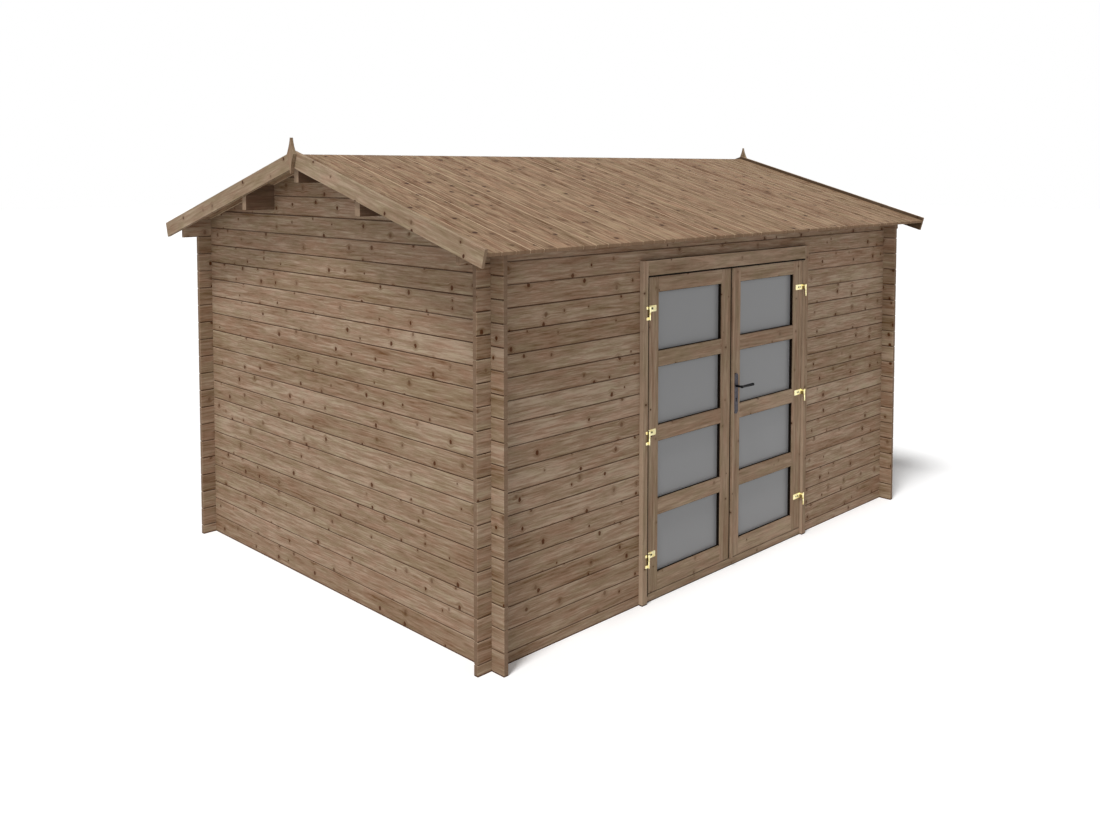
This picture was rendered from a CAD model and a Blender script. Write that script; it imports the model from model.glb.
import math
import random

import bmesh
import bpy
from mathutils import Matrix, Vector


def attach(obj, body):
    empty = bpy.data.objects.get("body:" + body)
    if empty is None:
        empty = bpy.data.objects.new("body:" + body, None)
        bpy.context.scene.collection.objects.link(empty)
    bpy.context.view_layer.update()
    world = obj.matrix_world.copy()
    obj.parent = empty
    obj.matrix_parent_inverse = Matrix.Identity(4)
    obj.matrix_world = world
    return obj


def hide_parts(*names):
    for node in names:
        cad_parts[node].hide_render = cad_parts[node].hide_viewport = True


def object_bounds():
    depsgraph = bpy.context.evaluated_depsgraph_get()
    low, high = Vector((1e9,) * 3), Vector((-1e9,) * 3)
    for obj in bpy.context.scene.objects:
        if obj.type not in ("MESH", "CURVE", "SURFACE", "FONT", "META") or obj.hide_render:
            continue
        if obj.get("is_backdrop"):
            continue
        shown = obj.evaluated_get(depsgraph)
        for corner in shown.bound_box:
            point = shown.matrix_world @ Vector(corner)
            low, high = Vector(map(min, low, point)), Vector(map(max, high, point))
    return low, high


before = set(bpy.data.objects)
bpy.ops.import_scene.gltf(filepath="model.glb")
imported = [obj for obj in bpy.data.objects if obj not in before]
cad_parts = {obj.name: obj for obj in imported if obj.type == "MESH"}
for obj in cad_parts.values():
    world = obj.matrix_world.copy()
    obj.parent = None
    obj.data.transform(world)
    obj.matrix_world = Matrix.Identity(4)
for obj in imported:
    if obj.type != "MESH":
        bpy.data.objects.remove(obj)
cad_low, cad_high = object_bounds()

UP = Vector((0, 0, 1))
QUARTER = math.pi / 2

# Sizes in metres, the same as the part's own
COURSE = 0.114
COURSES = 18
BOARD = 0.028
HALF_LENGTH = 1.940
HALF_DEPTH = 1.415
INNER_LENGTH = HALF_LENGTH - BOARD
INNER_DEPTH = HALF_DEPTH - BOARD
STUB = 0.090
LENGTH_REACH = HALF_LENGTH + STUB
DEPTH_REACH = HALF_DEPTH + STUB
DOORWAY = 0.826
LINTEL_CUT = 1.921
PITCH = math.radians(16)
ROOF = 0.018
ROOF_X = 2.130
EAVES = 0.195
SLOPE = HALF_DEPTH / math.cos(PITCH) + EAVES
PLATE_Z = (COURSES + 0.5) * COURSE
RIDGE_Z = PLATE_Z + INNER_DEPTH * math.tan(PITCH)
PURLIN = 0.044
PURLIN_H = 0.140
PURLIN_AT = 0.590
HINGES = (0.248, 0.947, 1.646)

# Room between boards, round a crossing board and under the roof
SLOT = 0.0005
ROOM = 0.0004
UNDER_ROOF = 0.0006

# Half a tongue's width, how far tongues stay from a corner, and half their length in a gable
TONGUE = 0.004
TONGUE_SHORT = 0.01
LOW_GABLE_TONGUE = 1.1
MIDDLE_GABLE_TONGUE = 0.5

# Softened edges: along a seam, at a board's end, on the roof, on timber and on metal
SEAM_EDGE = 0.005
END_EDGE = 0.0015
ROOF_EDGE = 0.003
EAVES_EDGE = 0.001
TIMBER_EDGE = 0.0015
BARGE_EDGE = 0.002
HINGE_EDGE = 0.0005
PLATE_EDGE = 0.0012

# Angles in degrees: still flat, a corner, a sharp corner, and still shaded as one curve
FLAT = 1
CORNER = 30
SHARP = 50
SMOOTH = 35

# How much a face has to look one way to count as square to it, as an end, as upward or as
# outward, how much it has to slant and tilt to be an edge, and the limits of a groove's side
SQUARE = 0.99
END_ON = 0.9
UPWARD = 0.8
OUTWARD = 0.6
SLANT = 0.2
TILT_UP = 0.1
GROOVE_SIDE = (0.3, 0.95)

# Boards on a roof slope, how much they differ in thickness, and how high the damp reaches
ROOF_BOARDS = 47
ROOF_UNEVEN = 0.0006
DAMP = 0.007

# Distances that count as one point, as none, as on a seam and as at a board's end
MERGE = 0.00002
HAIR = 1e-6
ON_SEAM = 1e-5
AT_END = 1e-4

# Where a board is cut from the trunk, how much boards differ in tone, and their dirt
TRUNK = 80
OFF_HEART = 0.03
FROM_HEART = (0.03, 0.08)
TONE_SPREAD = 0.5
LEAST_DIRT = 0.5
SEAM_DIRT = 0.5
GROOVE_DIRT = (0.4, 1.0)
GROOVE_WEAR = (0.1, 1.0)

# How far below its outermost point timber is stained, how dark, and how pale it bleaches
STAIN_DEPTH = 0.003
BARGE_STAIN = 0.9
FINIAL_STAIN = 0.4
BLEACH = 2.4


def roof_line(y):
    """Height of the roof's underside."""
    return PLATE_Z + (INNER_DEPTH - abs(y)) * math.tan(PITCH)


def roof_line_reach(z):
    """Distance from the ridge at which the roof's underside has that height."""
    return INNER_DEPTH + (PLATE_Z - z) / math.tan(PITCH)


# Shapes


def edges_of(faces):
    """The edges of these faces, each once, in a steady order."""
    return list(dict.fromkeys(e for f in faces for e in f.edges))


def verts_of(faces):
    """The corners of these faces, each once, in a steady order."""
    return list(dict.fromkeys(v for f in faces for v in f.verts))


def soften(bm, edges, width, segments=2):
    """Rounds edges off."""
    bmesh.ops.bevel(
        bm, geom=edges, offset=width, segments=segments, profile=0.5,
        affect="EDGES", material=-1, clamp_overlap=True,
    )


def push(bm, outline, way):
    """A flat outline pushed along to make a solid, and the solid's faces."""
    before = set(bm.faces)
    flat = bm.faces.new([bm.verts.new(p) for p in outline])
    pushed = bmesh.ops.extrude_face_region(bm, geom=[flat])["geom"]
    moved = [g for g in pushed if isinstance(g, bmesh.types.BMVert)]
    bmesh.ops.translate(bm, vec=way, verts=moved)
    faces = [f for f in bm.faces if f not in before]
    bmesh.ops.recalc_face_normals(bm, faces=faces)
    return faces


def block(bm, low, high):
    """A plain box between two corners."""
    low, high = Vector(low), Vector(high)
    place = Matrix.Translation((low + high) / 2) @ Matrix.Diagonal((*(high - low), 1))
    bmesh.ops.create_cube(bm, size=1, matrix=place)


def notched(left, right, foot, top, notches):
    """Outline of a board seen from outside. Each notch is a stretch of its length where
    only the height between two levels stays."""
    low, high = [(left, foot)], [(left, top)]
    for near, far, stays_from, stays_to in sorted(notches):
        if stays_from > foot:
            low += [(near, foot), (near, stays_from), (far, stays_from), (far, foot)]
        if stays_to < top:
            high += [(near, top), (near, stays_to), (far, stays_to), (far, top)]
    return low + [(right, foot), (right, top)] + high[::-1]


def crossings(half, left, right, stays_from, stays_to):
    """Notches at the corners of a wall, with a hair of room round the crossing board."""
    spans = ((-half - ROOM, -half + BOARD + ROOM), (half - BOARD - ROOM, half + ROOM))
    return [(a, b, stays_from, stays_to) for a, b in spans if a > left and b < right]


def mirrored(outline):
    """The outline's mirror image, in the order that goes on round."""
    return [(-x, z) for x, z in outline[::-1]]


def without_repeats(outline):
    """The same outline without points that repeat."""
    return [
        p for i, p in enumerate(outline)
        if (Vector(p) - Vector(outline[i - 1])).length > HAIR
    ]


# Wood pieces. Each board holds its own grain and tone, and each face has marks:
# its shares of end grain, of dirt and of wear.


def add_wood_layers(bm):
    """Room in a mesh for grain, tone and marks."""
    bm.verts.layers.float_vector.new("grain")
    bm.verts.layers.float_vector.new("tone")
    bm.faces.layers.float_vector.new("marks")


def wood_layers(bm):
    """Where a mesh keeps its grain, tone and marks."""
    return (
        bm.verts.layers.float_vector["grain"],
        bm.verts.layers.float_vector["tone"],
        bm.faces.layers.float_vector["marks"],
    )


def start_wood():
    """An empty mesh that can hold each board's own grain."""
    bm = bmesh.new()
    add_wood_layers(bm)
    return bm


def mark_grain(faces, layers, along, across, rng):
    """Cuts one board from its own tree: place along the trunk, depth below the bark and tone,
    with marks for end grain, dirty lower edges and worn upper edges."""
    grain, tone, marks = layers
    verts = verts_of(faces)
    middle = sum((v.co for v in verts), Vector()) / len(verts)
    out = along.cross(across)
    cut_at = Vector((
        rng.uniform(0, TRUNK),
        rng.uniform(-OFF_HEART, OFF_HEART),
        rng.uniform(*FROM_HEART),
    ))
    board_tone = Vector((rng.gauss(0, TONE_SPREAD), rng.gauss(0, TONE_SPREAD), rng.random()))
    dirt = LEAST_DIRT + (1 - LEAST_DIRT) * board_tone.z
    for v in verts:
        away = v.co - middle
        v[grain] = cut_at + Vector((away.dot(along), away.dot(across), away.dot(out)))
        v[tone] = board_tone
    for f in faces:
        f.normal_update()
        end = abs(f.normal.dot(along)) > END_ON
        slant = min(abs(f.normal.dot(across)), abs(f.normal.dot(out))) > SLANT
        under = slant and f.normal.z < -TILT_UP
        over = slant and f.normal.z > TILT_UP
        f[marks] = (1.0 if end else 0.0, dirt if under else 0.0, 1.0 if over else 0.0)


def cut_foot(bm, faces):
    """Parts the faces of wood that stands on the ground at the height that the damp reaches."""
    if min(v.co.z for v in verts_of(faces)) < HAIR:
        whole = [*verts_of(faces), *edges_of(faces), *faces]
        bmesh.ops.bisect_plane(bm, geom=whole, plane_co=(0, 0, DAMP), plane_no=UP)


def stain_foot(faces, marks):
    """Darkens the damp foot of wood that stands on the ground."""
    for f in faces:
        if f.calc_center_median().z < DAMP:
            f[marks] = (0.0, 1.0, 0.0)


def wall_board(bm, outline, face, turn, rng, tongue=None, seams=(), ends=(), planed=0.0):
    """One board of a wall that faces the front, then turned round to its own wall."""
    before = set(bm.faces)
    faces = push(bm, [(x, -face, z) for x, z in outline], (0, BOARD, 0))
    top = max(z for x, z in outline)
    if planed:
        outer = [v for v in verts_of(faces) if v.co.z > top - HAIR and v.co.y < -face + HAIR]
        bmesh.ops.translate(bm, vec=(0, 0, -planed), verts=outer)
    long_edges = [
        e for e in edges_of(faces)
        if abs(e.verts[0].co.y - e.verts[1].co.y) < HAIR
        and any(abs(e.verts[0].co.z - z) + abs(e.verts[1].co.z - z) < ON_SEAM for z in seams)
    ]
    soften(bm, long_edges, SEAM_EDGE)
    end_faces = [
        f for f in bm.faces
        if f not in before and abs(f.normal.x) > SQUARE
        and any(abs(f.calc_center_median().x - x) < AT_END for x in ends)
    ]
    soften(bm, edges_of(end_faces), END_EDGE, 1)
    if tongue:
        near, far = tongue
        middle = -face + BOARD / 2
        block(bm, (near, middle - TONGUE, top - TONGUE), (far, middle + TONGUE, top + TONGUE))
    cut_foot(bm, [f for f in bm.faces if f not in before])
    faces = [f for f in bm.faces if f not in before]
    spin = Matrix.Rotation(turn, 3, "Z")
    bmesh.ops.rotate(bm, matrix=spin, verts=verts_of(faces))
    layers = wood_layers(bm)
    marks = layers[2]
    mark_grain(faces, layers, spin @ Vector((1, 0, 0)), UP, rng)
    # The inner part of a worn upper edge lies deep in the seam, where dirt gathers
    for f in faces:
        if UPWARD < f.normal.z < SQUARE and f[marks].z:
            f[marks] = (0.0, SEAM_DIRT, 0.0)
    stain_foot(faces, marks)


def front_boards(bm, left, right, last, turn, rng):
    """Boards of a front or back wall. They start with a half board at the ground."""
    inside = (max(left, -INNER_LENGTH + TONGUE_SHORT), min(right, INNER_LENGTH - TONGUE_SHORT))
    for k in range(last + 1):
        middle = k * COURSE
        foot = max(middle - COURSE / 2, 0.0) + (SLOT if k else 0.0)
        top = middle + COURSE / 2 - SLOT
        stays = (middle - COURSE / 4 + SLOT, middle + COURSE / 4 - SLOT)
        notches = crossings(HALF_LENGTH, left, right, *stays)
        wall_board(
            bm, notched(left, right, foot, top, notches), HALF_DEPTH, turn, rng, inside,
            seams=(top, foot) if k else (top,),
            ends=[x for x in (left, right) if abs(x) > HALF_LENGTH],
        )


def side_boards(bm, turn, rng):
    """Boards of a side wall up to the eaves."""
    reach = DEPTH_REACH
    inside = (-INNER_DEPTH + TONGUE_SHORT, INNER_DEPTH - TONGUE_SHORT)
    for k in range(COURSES):
        foot = k * COURSE + (SLOT if k else 0.0)
        top = (k + 1) * COURSE - SLOT
        stays = ((k + 0.25) * COURSE + SLOT, (k + 0.75) * COURSE - SLOT)
        notches = crossings(HALF_DEPTH, -reach, reach, *stays)
        wall_board(
            bm, notched(-reach, reach, foot, top, notches), HALF_LENGTH, turn, rng, inside,
            seams=(top, foot) if k else (top,), ends=(-reach, reach),
        )


def gable_boards(bm, turn, rng):
    """Boards of the gable above the eaves, cut to the roof's slope and round the purlins."""
    reach = DEPTH_REACH
    levels = [(COURSES + k) * COURSE for k in range(4)]
    housing = PURLIN / 2 + ROOM
    near, far = PURLIN_AT - housing, PURLIN_AT + housing
    side_foot = roof_line(PURLIN_AT) - PURLIN_H - ROOM
    ridge_foot = RIDGE_Z - PURLIN_H - ROOM

    def reach_at(z):
        return roof_line_reach(z + UNDER_ROOF)

    def on_slope(y):
        return roof_line(y) - UNDER_ROOF

    # The board at the eaves is notched over the front and back walls
    foot, top = levels[0] + SLOT, levels[1] - SLOT
    web = (COURSES + 0.25) * COURSE + SLOT
    notches = crossings(HALF_DEPTH, -reach, reach, web, foot)
    low = notched(-reach, reach, foot, foot, notches)[:-2]
    high = [(reach, on_slope(reach)), (reach_at(top), top)]
    wall_board(
        bm, without_repeats(low + high + mirrored(high)), HALF_LENGTH, turn, rng,
        (-LOW_GABLE_TONGUE, LOW_GABLE_TONGUE), seams=(foot, top), ends=(-reach, reach),
    )

    # The next board has room for the front and back purlins
    foot, top = levels[1] + SLOT, levels[2] - SLOT
    half = [
        (reach_at(foot), foot), (reach_at(top), top), (far, top),
        (far, side_foot), (near, side_foot), (near, top),
    ]
    wall_board(
        bm, half + mirrored(half), HALF_LENGTH, turn, rng,
        (-MIDDLE_GABLE_TONGUE, MIDDLE_GABLE_TONGUE), seams=(foot, top),
    )

    # The purlins part the board above into three pieces, and the top one into two
    foot, top = levels[2] + SLOT, levels[3] - SLOT
    half = [
        (near, foot), (near, on_slope(near)), (reach_at(top), top),
        (housing, top), (housing, ridge_foot),
    ]
    wall_board(bm, half + mirrored(half), HALF_LENGTH, turn, rng, seams=(foot, top))
    for inner, level in ((far, levels[2]), (housing, levels[3])):
        foot = level + SLOT
        corner = [(inner, foot), (reach_at(foot), foot), (inner, on_slope(inner))]
        for outline in (corner, mirrored(corner)):
            wall_board(bm, outline, HALF_LENGTH, turn, rng, seams=(foot,))


def roof_boards(bm, turn, rng):
    """Boards from the ridge to the eaves on the back slope, then turned to their own slope."""
    down = Vector((0, math.cos(PITCH), -math.sin(PITCH)))
    out = Vector((0, math.sin(PITCH), math.cos(PITCH)))
    ridge = Vector((0, 0, RIDGE_Z))
    width = 2 * ROOF_X / ROOF_BOARDS
    spin = Matrix.Rotation(turn, 3, "Z")
    layers = wood_layers(bm)
    for k in range(ROOF_BOARDS):
        before = set(bm.faces)
        thick = ROOF - rng.uniform(0, ROOF_UNEVEN)
        start = Vector((-ROOF_X + k * width, 0, 0))
        section = ((0, 0), (SLOPE, 0), (SLOPE, thick), (-thick * math.tan(PITCH), thick))
        outline = [start + ridge + down * s + out * t for s, t in section]
        faces = push(bm, outline, (width, 0, 0))
        long_edges = [
            e for e in edges_of(faces)
            if abs(e.verts[0].co.x - e.verts[1].co.x) < HAIR
            and e.calc_length() > 2 * ROOF
        ]
        soften(bm, long_edges, ROOF_EDGE, 1)
        eaves = [f for f in bm.faces if f not in before and f.normal.dot(down) > SQUARE]
        soften(bm, edges_of(eaves), EAVES_EDGE, 1)
        faces = [f for f in bm.faces if f not in before]
        bmesh.ops.rotate(bm, matrix=spin, verts=verts_of(faces))
        mark_grain(faces, layers, spin @ down, spin @ Vector((1, 0, 0)), rng)
        # One side of each groove is dirty and the other worn
        stain = rng.uniform(*GROOVE_DIRT)
        wear = rng.uniform(*GROOVE_WEAR)
        for f in faces:
            if GROOVE_SIDE[0] < abs(f.normal.x) < GROOVE_SIDE[1]:
                f[layers[2]] = (0.0, stain, 0.0) if f.normal.x > 0 else (0.0, 0.0, wear)


# Pieces made from the part's own solids


def cad_copy(node):
    """A copy of a solid with its triangles joined to whole faces."""
    bm = bmesh.new()
    bm.from_mesh(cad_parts[node].data)
    for layer in list(bm.loops.layers.uv):
        bm.loops.layers.uv.remove(layer)
    bmesh.ops.remove_doubles(bm, verts=bm.verts, dist=MERGE)
    bmesh.ops.dissolve_limit(bm, angle_limit=math.radians(FLAT), verts=bm.verts, edges=bm.edges)
    add_wood_layers(bm)
    return bm


def corners_of(bm, least=CORNER):
    """Edges where two faces meet at a clear angle."""
    return [
        e for e in bm.edges
        if len(e.link_faces) == 2 and e.calc_face_angle() > math.radians(least)
    ]


def islands(bm):
    """The faces of each separate solid in turn."""
    seen = set()
    for first in list(bm.faces):
        if first in seen:
            continue
        seen.add(first)
        group = [first]
        for f in group:
            for e in f.edges:
                for other in e.link_faces:
                    if other not in seen:
                        seen.add(other)
                        group.append(other)
        yield group


def finish_piece(bm, name, materials, body, nodes=(), smooth=None):
    """Makes the mesh a piece of the object that moves with its body and stands for its solids."""
    mesh = bpy.data.meshes.new(name)
    for f in bm.faces:
        f.smooth = smooth is not None
    bm.to_mesh(mesh)
    bm.free()
    if smooth is not None:
        mesh.set_sharp_from_angle(angle=math.radians(smooth))
    for material in materials:
        mesh.materials.append(material)
    piece = bpy.data.objects.new(name, mesh)
    bpy.context.scene.collection.objects.link(piece)
    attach(piece, body)
    if nodes:
        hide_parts(*nodes)


def timber(
    node, along, across, material, body,
    edge=TIMBER_EDGE, stained=None, stain=1.0, bleached=None,
):
    """A planed timber: the solid with softened edges and its own grain in each piece of wood.
    Its outermost faces that look the stained way are dark with weather and dirt, and the
    faces that look the bleached way are pale."""
    bm = cad_copy(node)
    soften(bm, corners_of(bm), edge)
    cut_foot(bm, list(bm.faces))
    rng = random.Random("timber " + node)
    layers = wood_layers(bm)
    marks = layers[2]
    way = Vector(stained or UP)
    outermost = max(v.co.dot(way) for v in bm.verts)
    for faces in islands(bm):
        mark_grain(faces, layers, Vector(along), Vector(across), rng)
        for f in faces:
            near = f.calc_center_median().dot(way) > outermost - STAIN_DEPTH
            if stained and near and f.normal.dot(way) > OUTWARD:
                f[marks] = (0.0, stain, 0.0)
            if bleached and f.normal.dot(Vector(bleached)) > END_ON:
                f[marks] = (0.0, 0.0, BLEACH)
        stain_foot(faces, marks)
    finish_piece(bm, node + "_wood", [material], body, [node])


def fitting(node, materials, body, edge=0.0, dull=None, cuts=()):
    """A metal fitting: the solid with its sharp edges broken. Its faces are parted along the
    cuts, and those in a dull place get the second material."""
    bm = cad_copy(node)
    if edge:
        soften(bm, corners_of(bm, SHARP), edge, 1)
    for place, normal in cuts:
        whole = [*bm.verts, *bm.edges, *bm.faces]
        bmesh.ops.bisect_plane(bm, geom=whole, plane_co=place, plane_no=normal)
    for f in bm.faces:
        f.material_index = 1 if dull and dull(f.calc_center_median()) else 0
    finish_piece(bm, node + "_metal", materials, body, [node], SMOOTH)


# A screw head: its sides and height, its top and rim as shares of its radius, and its
# socket's depth as a share of its height
SCREW_SIDES = 20
SCREW_HEIGHT = 0.0012
SCREW_TOP = 0.72
SCREW_RIM = 0.3
SOCKET_DEPTH = 0.6
SOCKET_SLOPE = 0.0001


def screw_head(bm, place, radius):
    """A low round head with a round socket, facing the front."""
    before = set(bm.faces)
    middle = Vector(place) + Vector((0, -SCREW_HEIGHT / 2, 0))
    turn = Matrix.Translation(middle) @ Matrix.Rotation(QUARTER, 4, "X")
    bmesh.ops.create_cone(
        bm, cap_ends=True, segments=SCREW_SIDES, radius1=radius, radius2=radius * SCREW_TOP,
        depth=SCREW_HEIGHT, matrix=turn,
    )
    top = [f for f in bm.faces if f not in before and f.normal.y < -SQUARE]
    bmesh.ops.inset_region(bm, faces=top, thickness=radius * SCREW_RIM, depth=0)
    sunk = -SCREW_HEIGHT * SOCKET_DEPTH
    bmesh.ops.inset_region(bm, faces=top, thickness=SOCKET_SLOPE, depth=sunk)


# Materials


def paint(red, green, blue):
    """A colour as it is read off a screen, made ready for the shader."""
    def linear(c):
        c /= 255
        return c / 12.92 if c <= 0.04045 else ((c + 0.055) / 1.055) ** 2.4
    return (linear(red), linear(green), linear(blue), 1.0)


def add(tree, kind, inputs=None, **settings):
    """A node with its settings, values and links."""
    node = tree.nodes.new(kind)
    for name, value in settings.items():
        setattr(node, name, value)
    for name, value in (inputs or {}).items():
        if isinstance(value, bpy.types.NodeSocket):
            tree.links.new(value, node.inputs[name])
        else:
            node.inputs[name].default_value = value
    return node


def calc(tree, what, *values):
    """One step of arithmetic."""
    return add(tree, "ShaderNodeMath", dict(enumerate(values)), operation=what).outputs[0]


def vector(tree, what, first, second):
    """One step of arithmetic on places."""
    out = add(tree, "ShaderNodeVectorMath", {0: first, 1: second}, operation=what)
    return out.outputs["Vector"]


def xyz(tree, x, y, z):
    """A place from its three values."""
    return add(tree, "ShaderNodeCombineXYZ", {0: x, 1: y, 2: z}).outputs[0]


def parts(tree, place):
    """The three values of a place."""
    return add(tree, "ShaderNodeSeparateXYZ", {0: place}).outputs


def ease(tree, value, low, high, to_low=0.0, to_high=1.0):
    """Goes smoothly from one value to another while the input goes from low to high."""
    node = add(
        tree, "ShaderNodeMapRange",
        {"Value": value, "From Min": low, "From Max": high, "To Min": to_low, "To Max": to_high},
        interpolation_type="SMOOTHSTEP",
    )
    return node.outputs["Result"]


def mix(tree, amount, first, second, mode="MIX"):
    """Two colours mixed."""
    node = add(
        tree, "ShaderNodeMix", {0: amount, 6: first, 7: second},
        data_type="RGBA", blend_type=mode, clamp_factor=True,
    )
    return node.outputs[2]


def noise(tree, where, detail, rough=0.5):
    """Soft random clouds."""
    node = add(
        tree, "ShaderNodeTexNoise",
        {"Vector": where, "Scale": 1.0, "Detail": detail, "Roughness": rough},
        noise_dimensions="3D",
    )
    return node.outputs["Fac"]


def new_group(name, inputs, outputs):
    """An empty node group, what it is given and what it puts out."""
    group = bpy.data.node_groups.new(name, "ShaderNodeTree")
    for way, sockets in (("INPUT", inputs), ("OUTPUT", outputs)):
        for label, kind in sockets:
            group.interface.new_socket(name=label, in_out=way, socket_type="NodeSocket" + kind)
    given = group.nodes.new("NodeGroupInput").outputs
    result = group.nodes.new("NodeGroupOutput").inputs
    return group, given, result


# Places for knots in a metre along and across a board, how much wider than long knots are,
# and how closely growth rings follow each other
KNOTS_ALONG = 4.6
KNOTS_ACROSS = 9.5
KNOT_WIDE = 1.2
RINGS = 1150.0


def make_pine_group():
    """Treated pine: growth rings round the heart of the trunk, streaks, patches and knots."""
    places = ("Grain", "Tone", "Marks")
    colours = (
        "Pale", "Brown", "Dark", "Knot", "End", "Seam", "Worn", "Red tint", "Green tint",
    )
    amounts = (
        "Knot size", "Streaks", "Bands", "Band count", "Patches", "Seam depth", "Wear",
    )
    kinds = ((places, "Vector"), (colours, "Color"), (amounts, "Float"))
    tree, given, result = new_group(
        "treated pine",
        [(label, kind) for labels, kind in kinds for label in labels],
        [("Color", "Color"), ("Roughness", "Float"), ("Height", "Float")],
    )
    along, across, deep = parts(tree, given["Grain"])
    light, warm, seed = parts(tree, given["Tone"])
    end, dirt, wear = parts(tree, given["Marks"])

    def times(value, factor):
        return calc(tree, "MULTIPLY", value, factor)

    def scaled(value, factor, offset):
        return calc(tree, "MULTIPLY_ADD", value, factor, offset)

    def grain_times(*factors):
        return vector(tree, "MULTIPLY", given["Grain"], factors)

    def flecks(stretch, sideways, count, depth, detail, rough):
        """Noise that is drawn out along the board."""
        where = xyz(tree, times(along, stretch), times(sideways, count), depth)
        return noise(tree, where, detail, rough)

    # Knots lie scattered over the board, each with its own size
    grid = grain_times(KNOTS_ALONG, KNOTS_ACROSS, 0.0)
    cells = add(
        tree, "ShaderNodeTexVoronoi", {"Vector": grid, "Scale": 1.0, "Randomness": 0.9},
        voronoi_dimensions="2D", feature="F1",
    ).outputs
    away = vector(tree, "SUBTRACT", grid, cells["Position"])
    away = vector(tree, "MULTIPLY", away, (KNOT_WIDE / KNOTS_ALONG, 1 / KNOTS_ACROSS, 0.0))
    chance = add(tree, "ShaderNodeSeparateColor", {0: cells["Color"]}).outputs
    there = calc(tree, "GREATER_THAN", chance[0], 0.3)
    size = times(ease(tree, chance[0], 0.1, 1.0, 0.35, 1.0), given["Knot size"])
    reach = add(tree, "ShaderNodeVectorMath", {0: away}, operation="LENGTH").outputs["Value"]
    rough_edge = noise(tree, grain_times(90.0, 90.0, 20.0), 2.0)
    ratio = calc(tree, "DIVIDE", reach, size)
    ratio = calc(tree, "ADD", ratio, scaled(rough_edge, 0.8, -0.4))
    knot = times(ease(tree, ratio, 1.15, 0.7), there)
    knot = times(knot, ease(tree, chance[1], 0.0, 0.6, 0.45, 1.0))
    halo = times(ease(tree, ratio, 3.4, 1.0), there)
    from_knot = parts(tree, away)[1]
    bent = calc(tree, "SUBTRACT", across, times(times(halo, 0.6), from_knot))

    # Growth rings lie round the heart of the trunk and wander along it
    wander = noise(tree, grain_times(0.8, 4.0, 4.0), 2.0)
    ring = calc(tree, "SQRT", calc(tree, "ADD", times(bent, bent), times(deep, deep)))
    ring = calc(tree, "ADD", ring, scaled(wander, 0.04, -0.02))
    late = scaled(calc(tree, "SINE", times(ring, RINGS)), 0.5, 0.5)
    late = calc(tree, "POWER", late, 2.5)
    streaks = flecks(0.9, ring, 55.0, times(seed, 9.0), detail=5.0, rough=0.65)
    fine = flecks(7.0, ring, 380.0, times(deep, 200.0), detail=3.0, rough=0.6)
    many = given["Band count"]
    bands = flecks(6.0, bent, many, scaled(seed, 11.0, 20.0), detail=4.0, rough=0.72)
    patches = flecks(2.0, bent, 20.0, times(seed, 13.0), detail=2.0, rough=0.55)
    warmth = flecks(6.0, bent, 22.0, scaled(seed, 7.0, 40.0), detail=3.0, rough=0.55)

    # Streaks run from dark to pale, patches shift the tone, knots and marks come last
    shade = 0.5
    for layer, weight in ((streaks, "Streaks"), (bands, "Bands"), (patches, "Patches")):
        shade = scaled(calc(tree, "SUBTRACT", layer, 0.5), given[weight], shade)
    shade = calc(tree, "ADD", shade, scaled(fine, 0.6, -0.3))
    shade = calc(tree, "SUBTRACT", shade, times(late, 0.10))
    shade = calc(tree, "ADD", shade, times(light, 0.16))
    color = mix(tree, ease(tree, shade, 0.35, 1.0), given["Brown"], given["Pale"])
    color = mix(tree, ease(tree, shade, 0.44, -0.3), color, given["Dark"])
    hue = calc(tree, "ADD", times(warm, 0.35), scaled(warmth, 4.0, -2.0))
    color = mix(tree, ease(tree, hue, -0.1, 0.8), color, given["Red tint"], "MULTIPLY")
    color = mix(tree, ease(tree, hue, 0.1, -0.8), color, given["Green tint"], "MULTIPLY")
    color = mix(tree, times(halo, 0.28), color, given["Dark"])
    color = mix(tree, knot, color, given["Knot"])
    color = mix(tree, times(end, 0.8), color, given["End"])
    color = mix(tree, times(dirt, given["Seam depth"]), color, given["Seam"])
    color = mix(tree, times(wear, given["Wear"]), color, given["Worn"])
    tree.links.new(color, result["Color"])

    rough = calc(tree, "ADD", scaled(streaks, -0.16, 0.68), times(end, 0.15))
    tree.links.new(calc(tree, "SUBTRACT", rough, times(knot, 0.1)), result["Roughness"])
    height = scaled(fine, 0.5, times(streaks, 0.5))
    height = calc(tree, "SUBTRACT", height, times(late, 0.3))
    tree.links.new(calc(tree, "ADD", height, times(knot, 0.35)), result["Height"])
    return tree


def make_metal_group():
    """Tarnish on metal: soft clouds and fine scratches that change its colour and gloss."""
    tree, given, result = new_group(
        "tarnish",
        [("Place", "Vector"), ("Clean", "Color"), ("Dull", "Color"), ("Gloss", "Float")],
        [("Color", "Color"), ("Roughness", "Float"), ("Height", "Float")],
    )
    clouds = noise(tree, vector(tree, "MULTIPLY", given["Place"], (60.0, 60.0, 60.0)), 4.0)
    rubbed = noise(tree, vector(tree, "MULTIPLY", given["Place"], (900.0, 900.0, 90.0)), 2.0)
    amount = ease(tree, clouds, 0.42, 0.72)
    tree.links.new(mix(tree, amount, given["Clean"], given["Dull"]), result["Color"])
    rough = calc(tree, "MULTIPLY_ADD", amount, 0.18, given["Gloss"])
    tree.links.new(calc(tree, "MULTIPLY_ADD", rubbed, 0.12, rough), result["Roughness"])
    tree.links.new(rubbed, result["Height"])
    return tree


pine_group = make_pine_group()
tarnish_group = make_metal_group()
RED_TINT = (1.0, 0.92, 0.91, 1)
GREEN_TINT = (0.94, 0.985, 0.93, 1)

# Relief of a surface: its strength and its depth in metres
WOOD_RELIEF = (0.35, 0.0012)
METAL_RELIEF = (0.1, 0.0003)


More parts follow.
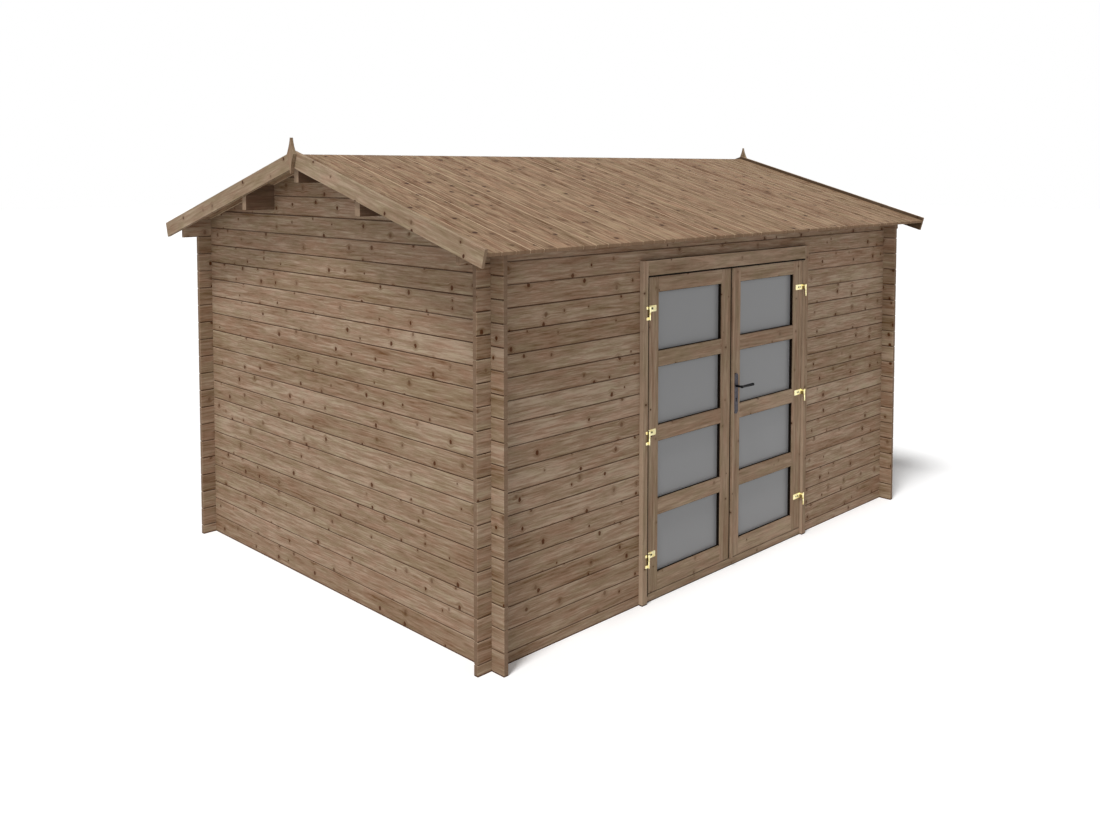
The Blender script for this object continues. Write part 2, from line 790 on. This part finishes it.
def new_material(name):
    """A material with a plain shader."""
    material = bpy.data.materials.new(name)
    material.use_nodes = True
    tree = material.node_tree
    tree.nodes.clear()
    shader = tree.nodes.new("ShaderNodeBsdfPrincipled")
    output = tree.nodes.new("ShaderNodeOutputMaterial")
    tree.links.new(shader.outputs[0], output.inputs["Surface"])
    return material, tree, shader


def dress(tree, shader, group, inputs, strength, depth):
    """Links a group's colour, roughness and height to the shader."""
    looks = add(tree, "ShaderNodeGroup", inputs, node_tree=group).outputs
    tree.links.new(looks["Color"], shader.inputs["Base Color"])
    tree.links.new(looks["Roughness"], shader.inputs["Roughness"])
    relief = {"Strength": strength, "Distance": depth, "Height": looks["Height"]}
    bump = add(tree, "ShaderNodeBump", relief)
    tree.links.new(bump.outputs[0], shader.inputs["Normal"])


def pine(name, sheen, **values):
    """A wood finish that reads each board's own grain."""
    material, tree, shader = new_material(name)
    inputs = {label.replace("_", " "): value for label, value in values.items()}
    inputs["Red tint"] = RED_TINT
    inputs["Green tint"] = GREEN_TINT
    for label, layer in (("Grain", "grain"), ("Tone", "tone"), ("Marks", "marks")):
        source = add(tree, "ShaderNodeAttribute", attribute_name=layer)
        inputs[label] = source.outputs["Vector"]
    dress(tree, shader, pine_group, inputs, *WOOD_RELIEF)
    shader.inputs["Specular IOR Level"].default_value = sheen
    return material


def metal(name, clean, dull, gloss, setting, value):
    """A metal or rubber finish with one setting of its own."""
    material, tree, shader = new_material(name)
    place = add(tree, "ShaderNodeTexCoord").outputs["Object"]
    inputs = {"Place": place, "Clean": clean, "Dull": dull, "Gloss": gloss}
    dress(tree, shader, tarnish_group, inputs, *METAL_RELIEF)
    shader.inputs[setting].default_value = value
    return material


wall_pine = pine(
    "wall pine", 0.08,
    Pale=paint(169, 148, 127), Brown=paint(140, 116, 94), Dark=paint(99, 70, 42),
    Knot=paint(78, 44, 20), End=paint(116, 94, 76), Seam=paint(66, 35, 11),
    Worn=paint(172, 150, 128), Knot_size=0.014, Streaks=1.0, Bands=2.1, Band_count=85,
    Patches=0.9, Seam_depth=0.87, Wear=0.25,
)
purlin_pine = pine(
    "purlin pine", 0.05,
    Pale=paint(122, 98, 80), Brown=paint(98, 76, 60), Dark=paint(74, 53, 39),
    Knot=paint(52, 28, 12), End=paint(150, 128, 107), Seam=paint(56, 34, 18),
    Worn=paint(128, 104, 86), Knot_size=0.012, Streaks=1.0, Bands=1.6, Band_count=85,
    Patches=0.8, Seam_depth=0.85, Wear=0.25,
)
roof_pine = pine(
    "roof pine", 0.03,
    Pale=paint(157, 132, 106), Brown=paint(132, 107, 85), Dark=paint(90, 61, 37),
    Knot=paint(56, 28, 10), End=paint(128, 103, 82), Seam=paint(74, 46, 24),
    Worn=paint(196, 172, 144), Knot_size=0.017, Streaks=1.0, Bands=3.5, Band_count=52,
    Patches=0.8, Seam_depth=0.85, Wear=0.9,
)
barge_pine = pine(
    "barge pine", 0.08,
    Pale=paint(168, 147, 125), Brown=paint(141, 119, 97), Dark=paint(106, 80, 57),
    Knot=paint(66, 36, 17), End=paint(128, 105, 85), Seam=paint(52, 34, 18),
    Worn=paint(170, 149, 127), Knot_size=0.012, Streaks=1.0, Bands=1.9, Band_count=70,
    Patches=0.9, Seam_depth=0.85, Wear=0.25,
)
joinery_pine = pine(
    "joinery pine", 0.1,
    Pale=paint(163, 140, 118), Brown=paint(138, 115, 93), Dark=paint(106, 82, 59),
    Knot=paint(76, 48, 28), End=paint(128, 105, 86), Seam=paint(40, 26, 15),
    Worn=paint(184, 161, 139), Knot_size=0.009, Streaks=1.0, Bands=1.8, Band_count=70,
    Patches=1.2, Seam_depth=0.85, Wear=0.25,
)
brass = metal(
    "hinge brass", paint(255, 246, 196), paint(240, 220, 150), 0.28, "Metallic", 1.0,
)
old_brass = metal(
    "tarnished brass", paint(124, 102, 64), paint(108, 88, 54), 0.6, "Specular IOR Level", 0.1,
)
plate_metal = metal(
    "handle plate", paint(68, 64, 71), paint(55, 52, 58), 0.4, "Metallic", 0.5,
)
lever_metal = metal(
    "handle lever", paint(17, 16, 19), paint(12, 12, 14), 0.45, "Specular IOR Level", 0.15,
)
rubber = metal(
    "black seal", paint(20, 14, 9), paint(27, 19, 13), 0.7, "Specular IOR Level", 0.05,
)
glass, _, glass_shader = new_material("door glass")
glass_shader.inputs["Base Color"].default_value = paint(144, 144, 145)
glass_shader.inputs["Roughness"].default_value = 0.3
glass_shader.inputs["Specular IOR Level"].default_value = 0.3
glass_shader.inputs["Transmission Weight"].default_value = 0.2
glass_shader.inputs["IOR"].default_value = 1.5

# Walls
WALLS = (
    ("front_wall_left", front_boards, (-LENGTH_REACH, -DOORWAY, COURSES - 2, 0.0)),
    ("front_wall_right", front_boards, (DOORWAY, LENGTH_REACH, COURSES - 2, 0.0)),
    ("back_wall", front_boards, (-LENGTH_REACH, LENGTH_REACH, COURSES - 1, math.pi)),
    ("right_wall", side_boards, (QUARTER,)),
    ("left_wall", side_boards, (-QUARTER,)),
    ("right_gable", gable_boards, (QUARTER,)),
    ("left_gable", gable_boards, (-QUARTER,)),
)
for node, make, sizes in WALLS:
    bm = start_wood()
    make(bm, *sizes, random.Random(node))
    finish_piece(bm, node + "_boards", [wall_pine], "shed", [node])

bm = start_wood()
foot, top = (COURSES - 1.5) * COURSE + SLOT, (COURSES - 0.5) * COURSE - SLOT
stays = ((COURSES - 1.25) * COURSE + SLOT, (COURSES - 0.75) * COURSE - SLOT)
notches = crossings(HALF_LENGTH, -LENGTH_REACH, LENGTH_REACH, *stays)
notches.append((-DOORWAY, DOORWAY, LINTEL_CUT, top))
wall_board(
    bm, notched(-LENGTH_REACH, LENGTH_REACH, foot, top, notches), HALF_DEPTH, 0.0,
    random.Random("board over the door"),
    (-INNER_LENGTH + TONGUE_SHORT, INNER_LENGTH - TONGUE_SHORT),
    seams=(foot, top), ends=(-LENGTH_REACH, LENGTH_REACH),
)
lintel = "front_lintel_board"
finish_piece(bm, lintel + "_wood", [wall_pine], "shed", [lintel])

for node, turn in (("front_top_log", 0.0), ("back_top_log", math.pi)):
    bm = start_wood()
    foot, top = (COURSES - 0.5) * COURSE + SLOT, PLATE_Z - SLOT
    stays = ((COURSES - 0.25) * COURSE + SLOT, (COURSES + 0.25) * COURSE - SLOT)
    notches = crossings(HALF_LENGTH, -ROOF_X, ROOF_X, *stays)
    wall_board(
        bm, notched(-ROOF_X, ROOF_X, foot, top, notches), HALF_DEPTH, turn, random.Random(node),
        seams=(foot,), planed=BOARD * math.tan(PITCH),
    )
    finish_piece(bm, node + "_wood", [wall_pine], "shed", [node])

# Roof
LENGTHWAYS = (1, 0, 0)
DEPTHWAYS = (0, 1, 0)
LEFTWARDS = (-1, 0, 0)
for node, turn in (("roof_back", 0.0), ("roof_front", math.pi)):
    bm = start_wood()
    roof_boards(bm, turn, random.Random(node))
    finish_piece(bm, node + "_boards", [roof_pine], "shed", [node])
for node in ("ridge_purlin", "front_purlin", "back_purlin"):
    timber(node, LENGTHWAYS, UP, purlin_pine, "shed")
for side, inward in (("left", LENGTHWAYS), ("right", LEFTWARDS)):
    for half, fall in (("front", -1), ("back", 1)):
        along = (0, fall * math.cos(PITCH), -math.sin(PITCH))
        across = (0, fall * math.sin(PITCH), math.cos(PITCH))
        timber(
            f"barge_{side}_{half}", along, across, barge_pine, "shed",
            BARGE_EDGE, stained=inward, stain=BARGE_STAIN,
        )
    timber(
        f"finial_{side}", UP, DEPTHWAYS, barge_pine, "shed",
        stained=inward, stain=FINIAL_STAIN,
    )

# Hinges: where the jamb plate starts, half the gap between its tabs, and the web from the
# barrel to the leaf, which is bright only at its top
PLATE_FROM = 0.8045
TAB_GAP = 0.022
WEB_NEAR, WEB_FAR = -1.4473, -1.4292
WEB_BRIGHT = 0.026
WEB_CUTS = [((0, y, 0), DEPTHWAYS) for y in (WEB_NEAR, WEB_FAR)]
WEB_CUTS += [((0, 0, z + WEB_BRIGHT), UP) for z in HINGES]
TAB_CUTS = [((0, 0, z + gap), UP) for z in HINGES for gap in (-TAB_GAP, TAB_GAP)]


def between_tabs(place):
    """Whether a place on a hinge's jamb plate lies between its two tabs."""
    return abs(place.x) > PLATE_FROM and min(abs(place.z - z) for z in HINGES) < TAB_GAP


def on_web(place):
    """Whether a place on a hinge's flag lies low on the web from the barrel to the leaf."""
    return WEB_NEAR < place.y < WEB_FAR and any(z < place.z < z + WEB_BRIGHT for z in HINGES)


# Door frame and leaves
for node, along, across, stained, bleached in (
    ("frame_left_jamb", UP, LENGTHWAYS, None, LEFTWARDS),
    ("frame_right_jamb", UP, LENGTHWAYS, None, LEFTWARDS),
    ("frame_head", LENGTHWAYS, UP, UP, None),
    ("frame_sill", LENGTHWAYS, UP, None, None),
):
    timber(
        node, along, across, joinery_pine, "shed",
        stained=stained, bleached=bleached,
    )
hinge_looks = [brass, old_brass]
for side in ("left", "right"):
    body = side + "_door"
    for part, along, across in (
        ("hinge_stile", UP, LENGTHWAYS),
        ("meeting_stile", UP, LENGTHWAYS),
        ("rails", LENGTHWAYS, UP),
    ):
        timber(f"{body}_{part}", along, across, joinery_pine, body, stained=UP)
    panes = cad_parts[body + "_glass"]
    panes.data.materials.clear()
    panes.data.materials.append(glass)
    fitting(
        body + "_hinge_flags", hinge_looks, body, HINGE_EDGE, on_web, WEB_CUTS,
    )
    fitting(
        side + "_hinge_pintles", hinge_looks, "shed", HINGE_EDGE,
        between_tabs, TAB_CUTS,
    )
fitting("right_door_back_plates", [plate_metal], "right_door", PLATE_EDGE)
fitting("right_door_lever", [lever_metal], "door_lever")

# Seals round the panes, in front of the glass and behind it
PANE_X = (0.0965, 0.692)
PANE_H = 0.3355
PANES = 4
PANE_FOOT = 0.150
PANE_STEP = 0.4235
SEAL = 0.002
SEAL_DEPTHS = ((-1.4235, -1.401), (-1.397, -1.3845))
FOOT_FRONT = -1.411
SIDE_FRONT = -1.4195

# Other dark pieces, each as two corners: the strip behind the gap of the leaves, the lock
# cases behind the keyholes, and the seals between the frame and the leaves
LEAF_PIECES = {
    "left": [((-0.0065, -1.4263, 0.051), (0.0025, -1.414, 1.843))],
    "right": [
        ((0.0435, -1.4332, 1.016), (0.0575, -1.4262, 1.042)),
        ((0.0435, -1.3818, 1.016), (0.0575, -1.3748, 1.042)),
    ],
}
FRAME_SEALS = (
    ((-0.801, -1.4436, 1.8446), (0.801, -1.430, 1.854)),
    ((-0.8026, -1.4436, 0.046), (-0.7968, -1.4405, 1.8446)),
    ((-0.786, -1.3805, 1.836), (0.786, -1.377, 1.848)),
    ((-0.800, -1.3805, 0.046), (-0.787, -1.377, 1.848)),
    ((0.787, -1.3805, 0.046), (0.800, -1.377, 1.848)),
)
for side, sign in (("left", -1), ("right", 1)):
    bm = bmesh.new()
    near, far = sorted((sign * PANE_X[0], sign * PANE_X[1]))
    for i in range(PANES):
        foot = PANE_FOOT + PANE_STEP * i
        top = foot + PANE_H
        for front, rear in SEAL_DEPTHS:
            block(bm, (near, max(front, FOOT_FRONT), foot), (far, rear, foot + SEAL))
            block(bm, (near, front, top - SEAL), (far, rear, top))
            for start, end in ((near, near + SEAL), (far - SEAL, far)):
                low = (start, max(front, SIDE_FRONT), foot + SEAL)
                block(bm, low, (end, rear, top - SEAL))
    for low, high in LEAF_PIECES[side]:
        block(bm, low, high)
    finish_piece(bm, side + "_door_seals", [rubber], side + "_door")
bm = bmesh.new()
for low, high in FRAME_SEALS:
    block(bm, low, high)
finish_piece(bm, "frame_seals", [rubber], "shed")

# Screws in the hinges
FLAG_SCREW_X = (0.766, 0.748)
FLAG_FRONT = -1.4285
FLAG_MIDDLE = 0.021
FLAG_SCREW = 0.006
TAB_SCREW_X = 0.8135
TAB_FRONT = -1.4455
TAB_MIDDLES = (-0.030, 0.030)
TAB_SCREW = 0.0035
for side, sign in (("left", -1), ("right", 1)):
    bm = bmesh.new()
    for z in HINGES:
        for x in FLAG_SCREW_X:
            screw_head(bm, (sign * x, FLAG_FRONT, z + FLAG_MIDDLE), FLAG_SCREW)
    screws = side + "_flag_screws"
    finish_piece(bm, screws, [lever_metal], side + "_door", smooth=SMOOTH)
    bm = bmesh.new()
    for z in HINGES:
        for up in TAB_MIDDLES:
            screw_head(bm, (sign * TAB_SCREW_X, TAB_FRONT, z + up), TAB_SCREW)
    finish_piece(bm, side + "_pintle_screws", [brass], "shed", smooth=SMOOTH)


# Floor, light and camera


def seen_directly(tree):
    """1 for what the camera, a reflection or the glass shows, and 0 for light that falls
    on things."""
    rays = tree.nodes.new("ShaderNodeLightPath").outputs
    either = calc(tree, "MAXIMUM", rays["Is Camera Ray"], rays["Is Glossy Ray"])
    return calc(tree, "MAXIMUM", either, rays["Is Transmission Ray"])


def choose(tree, falls, shows):
    """One shader for light that falls on things, another for what shows directly."""
    inputs = {0: seen_directly(tree), 1: falls.outputs[0], 2: shows.outputs[0]}
    return add(tree, "ShaderNodeMixShader", inputs).outputs[0]


def grey(level):
    """A colour without hue."""
    return (level, level, level, 1)


# How far the floor reaches, how much light it throws back, how much brighter than white it
# shows, and the light that comes from all round
FLOOR_SIZE = 60
FLOOR_BOUNCE = 0.78
FLOOR_LIFT = 0.05
SOFT_LIGHT = 0.30

bm = bmesh.new()
bmesh.ops.create_grid(bm, x_segments=1, y_segments=1, size=FLOOR_SIZE)
floor_mesh = bpy.data.meshes.new("floor")
bm.to_mesh(floor_mesh)
bm.free()
floor = bpy.data.objects.new("floor", floor_mesh)
bpy.context.scene.collection.objects.link(floor)
floor_look = bpy.data.materials.new("floor")
floor_look.use_nodes = True
tree = floor_look.node_tree
tree.nodes.clear()
bounce = add(tree, "ShaderNodeBsdfDiffuse", {"Color": grey(FLOOR_BOUNCE)})
pale = add(tree, "ShaderNodeBsdfDiffuse", {"Color": grey(1)})
glow = add(tree, "ShaderNodeEmission", {"Color": grey(FLOOR_LIFT), "Strength": 1.0})
shown = add(tree, "ShaderNodeAddShader", {0: pale.outputs[0], 1: glow.outputs[0]})
add(tree, "ShaderNodeOutputMaterial", {"Surface": choose(tree, bounce, shown)})
floor_mesh.materials.append(floor_look)
floor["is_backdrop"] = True

world = bpy.data.worlds.new("studio")
world.use_nodes = True
bpy.context.scene.world = world
tree = world.node_tree
tree.nodes.clear()
white = add(tree, "ShaderNodeBackground", {"Color": grey(1), "Strength": 1.0})
soft = add(tree, "ShaderNodeBackground", {"Color": grey(1), "Strength": SOFT_LIGHT})
add(tree, "ShaderNodeOutputWorld", {"Surface": choose(tree, soft, white)})

# Each light with its energy, its spread in degrees and the way it shines
LIGHTS = (
    ("key", 2.4, 12, (0.41, 0.13, -0.90)),
    ("fill", 1.05, 60, (0.75, 0.65, -0.12)),
)
for name, energy, spread, way in LIGHTS:
    lamp = bpy.data.lights.new(name, "SUN")
    lamp.energy = energy
    lamp.angle = math.radians(spread)
    light = bpy.data.objects.new(name, lamp)
    bpy.context.scene.collection.objects.link(light)
    light.rotation_mode = "QUATERNION"
    light.rotation_quaternion = Vector(way).to_track_quat("-Z", "Y")

# The camera as solved from the photo, with part of its lens shift turned into a small tilt
TILT = math.radians(3.1075)
HEADING = math.radians(44.7529)
lens = bpy.data.cameras.new("camera")
lens.sensor_width = 36.0
lens.lens = 34.34741
lens.shift_y = -0.17
camera = bpy.data.objects.new("camera", lens)
bpy.context.scene.collection.objects.link(camera)
camera.location = (-5.24954, -5.15598, 2.44602)
camera.rotation_euler = (QUARTER - TILT, 0.0, -HEADING)
bpy.context.scene.camera = camera

bpy.context.scene.view_settings.view_transform = "Standard"

low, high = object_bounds()
{"cad": [list(cad_low), list(cad_high)], "dressed": [list(low), list(high)]}
